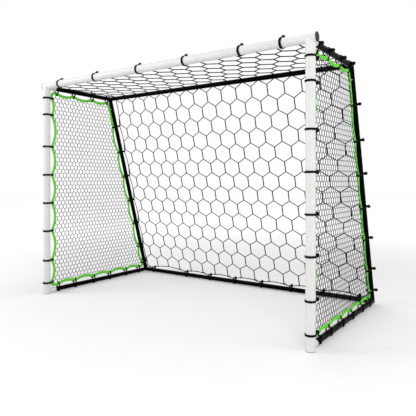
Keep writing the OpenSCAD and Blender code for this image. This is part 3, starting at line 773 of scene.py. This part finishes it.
def bungeeLine(circles, foot, drawn):
    # the cord runs out round the loop on one side of its plane and back on the other
    loop = belt(circles, foot)
    loop.append(loop[0])
    distance = [0.0]
    for (p, _), (q, _) in zip(loop, loop[1:]):
        distance.append(distance[-1] + (q - p).length)
    total = distance[-1]

    def at(s):
        s = s % total
        for k in range(len(loop) - 1):
            if distance[k + 1] >= s:
                break
        t = (s - distance[k]) / (distance[k + 1] - distance[k])
        return loop[k][0].lerp(loop[k + 1][0], t), (loop[k][1].lerp(loop[k + 1][1], t)).normalized()

    gap = bungee["strandGap"] / 2 * drawn
    partAt, partMore, partLift = bungee["parting"]
    out = list(bungee["neck"])
    out += [(d, gap, 0.0) for d in distance if bungee["neckLength"] < d < total - bungee["eyeLength"]]
    out.append((total + partAt, gap + partMore, partLift))
    out += [(total + way, across, lift) for way, across, lift in bungee["eye"]]
    back = [(s, -across, lift) for s, across, lift in reversed(out[:-1])]
    points = []
    for s, across, lift in out + back:
        p, n = at(s)
        q = p + n * lift
        points.append(Vector((q.x, q.y, across)))
    return points


def placeIn(origin, u, v, slant=0.0):
    # from the flat drawing, whose axes are u and v, to its place on the tube, which runs along w
    # and along which a slant leans the drawing
    w = u.cross(v)
    u = u - w * slant
    return Matrix((
        (u.x, v.x, w.x, origin.x),
        (u.y, v.y, w.y, origin.y),
        (u.z, v.z, w.z, origin.z),
        (0, 0, 0, 1),
    ))


def flipped(matrix):
    # the same place on the left side: the across axis of the flat drawing turns over with it
    return Matrix.Diagonal((-1, 1, 1, 1)) @ matrix


def ballPattern():
    # a moulded ball with a parting line and a short collar where the cord goes in
    radius, neck, rings, segments = ball["radius"], ball["neck"], ball["rings"], ball["segments"]
    profile = []
    for k in range(rings + 1):
        angle = (math.pi - math.asin(neck / radius)) * k / rings
        onSeam = abs(angle - math.pi / 2) < ball["seamReach"]
        swell = radius + (ball["seam"] if onSeam else 0.0)
        profile.append((swell * math.sin(angle), swell * math.cos(angle)))
    bottom = -radius - ball["collar"]
    profile += [(neck, -radius - ball["collar"] / 2), (neck - ball["bevel"], bottom), (0.0, bottom)]
    points, faces = [(0, 0, radius)], []
    for r, z in profile[1:-1]:
        points += [(r * math.cos(2 * math.pi * s / segments), r * math.sin(2 * math.pi * s / segments), z)
                   for s in range(segments)]
    points.append((0, 0, bottom))
    last = len(points) - 1
    ringCount = len(profile) - 2
    for s in range(segments):
        t = (s + 1) % segments
        faces.append((0, 1 + s, 1 + t))
        for k in range(ringCount - 1):
            a = 1 + k * segments
            faces.append((a + s, a + segments + s, a + segments + t, a + t))
        a = 1 + (ringCount - 1) * segments
        faces.append((a + s, last, a + t))
    mesh = bpy.data.meshes.new("ballPattern")
    mesh.from_pydata(points, [], faces)
    mesh.shade_smooth()
    return bpy.data.objects.new("ballPattern", mesh)


ballObject = ballPattern()


def tieGroup(group, places, drawn=1.0):
    # one piece of cords and one of balls for all the bungees of a tube
    lines, centres, turns = [], [], []
    for matrix, circles, (foot, out) in places:
        lines.append(([matrix @ p for p in bungeeLine(circles, foot, drawn)], False))
        centre = foot + out * ballSeat
        centres.append(matrix @ Vector((centre.x, centre.y, 0)))
        outward = (matrix.to_3x3() @ Vector((out.x, out.y, 0))).normalized()
        turns.append(outward.to_track_quat("Z", "Y").to_euler())
    cordPiece(group + "_bungee_cords", lines, "elastic", [group + "_loops"],
              bungee["cord"] * drawn, sides=bungee["sides"])
    mesh = bpy.data.meshes.new(group + "Points")
    mesh.from_pydata([tuple(p) for p in centres], [], [])
    turn = mesh.attributes.new("turn", "FLOAT_VECTOR", "POINT")
    for k, euler in enumerate(turns):
        turn.data[k].vector = euler[:]
    balls = grown(group + "_bungee_balls", mesh, copyNodes, copyKeys,
                  {"Piece": ballObject, "Material": materials["ball"]})
    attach(balls, "root")
    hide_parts(group + "_balls")


# the wrapped circles in the flat drawings, whose origin is the axis of the tube
xAxis, yAxis, zAxis = Vector((1, 0, 0)), Vector((0, 1, 0)), Vector((0, 0, 1))
upLean = Vector((0, -math.sin(lean), math.cos(lean)))
inLean = Vector((0, -math.cos(lean), -math.sin(lean)))
onRail = (Vector((0, 0)), railWrap)
onPost = (Vector((0, 0)), postWrap)
hemOnPost = (Vector((postNear + hemTip, sideX - postX)), hemWrap)
barEdge = netPlace(barNear + edgeTip)
edgeOnBar = (Vector((barEdge.x, barEdge.y - barZ)), edgeWrap)
groundEdge = netPlace(netLength - edgeNear - edgeTip)
edgeOnGround = (Vector((groundEdge.y - groundZ, groundEdge.x - groundDepth)), edgeWrap)


def hemOnRail(depth, height):
    return Vector((railNear + hemTip, -inwards(depth, height))), hemWrap


def edgeOnTop(t, side):
    return Vector((railZ - netPlace(t / math.cos(rise)).y, -sideNear[side] - edgeTip)), edgeWrap


def edgeOnRear(t, side):
    down = (wrapRadius + largeNet["lead"]) * (rearLength - t) / rearLength - wrapRadius
    return Vector((down, -sideNear[side] - edgeTip)), edgeWrap


# a tie: its place, the circles that its loop wraps, and the ball's foot with the way out
def barTie(x):
    place = placeIn(Vector((x, mouthY, barZ)), yAxis, zAxis)
    return place, [edgeOnBar, onPost], onCircle(onPost, ball["turns"]["crossbar"])


def groundBarTie(x):
    place = placeIn(Vector((x, groundBackY, groundZ)), zAxis, yAxis)
    return place, [edgeOnGround, onRail], onCircle(onRail, ball["turns"]["groundBar"])


def postTie(z):
    place = placeIn(Vector((postX, mouthY, z)), yAxis, xAxis)
    return place, [hemOnPost, onPost], onCircle(hemOnPost, ball["turns"]["post"])


def topTie(t, side):
    place = placeIn(Vector((sideX, mouthY + t, railZ)), -zAxis, xAxis)
    circles = [hemOnRail(t, railZ), onRail, edgeOnTop(t, side)]
    return place, circles, onCircle(onRail, ball["turns"]["topRail"])


def rearTie(t, side):
    place = placeIn(Vector((sideX, groundBackY, groundZ)) + upLean * t, inLean, xAxis)
    hem = Vector((railNear + hemTip, -edging["inset"])), hemWrap
    return place, [hem, onRail, edgeOnRear(t, side)], onCircle(onRail, ball["turns"]["rearPost"])


def groundTie(t, side):
    slant = bungee["slant"][side]
    place = placeIn(Vector((sideX, mouthY + t + slant * bungee["slantFrom"], groundZ)), zAxis, xAxis, slant)
    hem = hemOnRail(t, groundZ)
    return place, [hem, onRail], onStrand(hem, onRail)


print("bungees")
tieGroup("crossbar", [barTie(x) for x in barTies], bungee["farDrawn"])
tieGroup("rear_ground_bar", [groundBarTie(x) for x in groundBarTies])
for side in ("right", "left"):
    sideTies = {
        "post": [postTie(z) for z in postTies],
        "top_rail": [topTie(t, side) for t in topTies],
        "rear_post": [rearTie(t, side) for t in rearTies],
        "ground_rail": [groundTie(t, side) for t in groundTies],
    }
    for tube, places in sideTies.items():
        if side == "left":
            places = [(flipped(matrix), circles, foot) for matrix, circles, foot in places]
        drawn = bungee["farDrawn"] if (side, tube) == ("left", "post") else 1.0
        tieGroup(side + "_" + tube, places, drawn)
bpy.data.objects.remove(ballObject)

# the finishes of the carried-over tubes, caps and screws
print("finishes")
slots = {row["node"]: row["material_slot"] for row in frame["record"]["subparts"]}
finishes = {"white_steel": "whiteTube", "black_steel": "blackTube", "cap_plastic": "cap",
            "zinc_screw": "screw"}
for name, node in frame["nodes"].items():
    if slots.get(name) in finishes:
        node.data.materials.clear()
        node.data.materials.append(materials[finishes[slots[name]]])

# floor, light and camera
# the floor's glow rises from nearGlow round the goal to farGlow far off; the lower glow near the goal is a
# painted soft shadow
floorLook = {"size": 60.0, "colour": "#ECECEC", "near": 1.0, "far": 5.5, "nearGlow": 0.16, "farGlow": 0.53}
fillLight = 0.55
lampAim = (0, 0, 0.7)
lamps = {
    "frontLeftLight": {"place": (-3.5, -3.5, 2.8), "size": 2.5, "power": 90},
    "frontRightLight": {"place": (2.8, -3.7, 2.4), "size": 2.5, "power": 55},
    "rightLight": {"place": (3.7, -0.1, 1.6), "size": 2.0, "power": 21},
    "topLight": {"place": (0.0, 0.3, 4.8), "size": 2.0, "power": 30},
}
lens = {
    "focal": 40.82,
    "sensor": 36.0,
    "shiftY": -0.0657,
    "turn": 34.878,            # degrees to the left of straight ahead
    "side": 1.8806,            # to the right of the goal's middle
    "back": 2.1134,            # in front of its mouth
    "height": 0.8091,
    "clipEnd": 200.0,
}


def seenDirectly(tree):
    # 1 for what the camera sees, also in a reflection, and 0 for the light that falls on things
    path = addNode(tree, "ShaderNodeLightPath").outputs
    return addNode(tree, "ShaderNodeMath", {0: path["Is Camera Ray"], 1: path["Is Glossy Ray"]},
                   operation="MAXIMUM")


def stageFloor():
    # matt white paper floor: it takes the shadow, and the camera and reflections see it fade to white; its
    # glow is weaker near the goal, which paints a soft shadow round it
    material, tree = newMaterial("paperFloor")
    place = addNode(tree, "ShaderNodeTexCoord").outputs["Object"]
    away = addNode(tree, "ShaderNodeVectorMath", {0: place}, operation="LENGTH").outputs["Value"]
    # less glow near the goal than far away: a painted soft shadow under and round it
    fade = addNode(tree, "ShaderNodeMapRange", {
        "Value": away, "From Min": floorLook["near"], "From Max": floorLook["far"],
        "To Min": floorLook["nearGlow"], "To Max": floorLook["farGlow"]}, interpolation_type="SMOOTHSTEP")
    matt = addNode(tree, "ShaderNodeBsdfDiffuse", {"Color": linearColour(floorLook["colour"])})
    glow = addNode(tree, "ShaderNodeEmission", {"Color": (1, 1, 1, 1), "Strength": fade})
    both = addNode(tree, "ShaderNodeAddShader", {0: matt, 1: glow})
    mixed = addNode(tree, "ShaderNodeMixShader", {0: seenDirectly(tree), 1: matt, 2: both})
    addNode(tree, "ShaderNodeOutputMaterial", {"Surface": mixed})
    mesh = bpy.data.meshes.new("floor")
    half = floorLook["size"] / 2
    corners = [(-half, -half, 0), (half, -half, 0), (half, half, 0), (-half, half, 0)]
    mesh.from_pydata(corners, [], [(0, 1, 2, 3)])
    mesh.materials.append(material)
    floor = bpy.data.objects.new("floor", mesh)
    scene.collection.objects.link(floor)


def softLight(name, lamp):
    disk = bpy.data.lights.new(name, "AREA")
    disk.shape = "DISK"
    disk.size = lamp["size"]
    disk.energy = lamp["power"]
    light = bpy.data.objects.new(name, disk)
    light.location = lamp["place"]
    light.rotation_euler = (Vector(lampAim) - light.location).to_track_quat("-Z", "Y").to_euler()
    scene.collection.objects.link(light)


def studio():
    world = bpy.data.worlds.new("studio")
    scene.world = world
    world.use_nodes = True
    tree = world.node_tree
    tree.nodes.clear()
    fill = addNode(tree, "ShaderNodeBackground", {"Color": (1, 1, 1, 1), "Strength": fillLight})
    white = addNode(tree, "ShaderNodeBackground", {"Color": (1, 1, 1, 1), "Strength": 1.0})
    mixed = addNode(tree, "ShaderNodeMixShader", {0: seenDirectly(tree), 1: fill, 2: white})
    addNode(tree, "ShaderNodeOutputWorld", {"Surface": mixed})
    for name, lamp in lamps.items():
        softLight(name, lamp)


def addCamera():
    camera = bpy.data.cameras.new("camera")
    camera.lens = lens["focal"]
    camera.sensor_width = lens["sensor"]
    camera.shift_y = lens["shiftY"]
    camera.clip_end = lens["clipEnd"]
    eye = bpy.data.objects.new("camera", camera)
    eye.location = (lens["side"], mouthY - lens["back"], lens["height"])
    eye.rotation_euler = (math.radians(90), 0, math.radians(lens["turn"]))
    scene.collection.objects.link(eye)
    scene.camera = eye


print("stage")
stageFloor()
studio()
addCamera()
scene.view_settings.view_transform = "Standard"
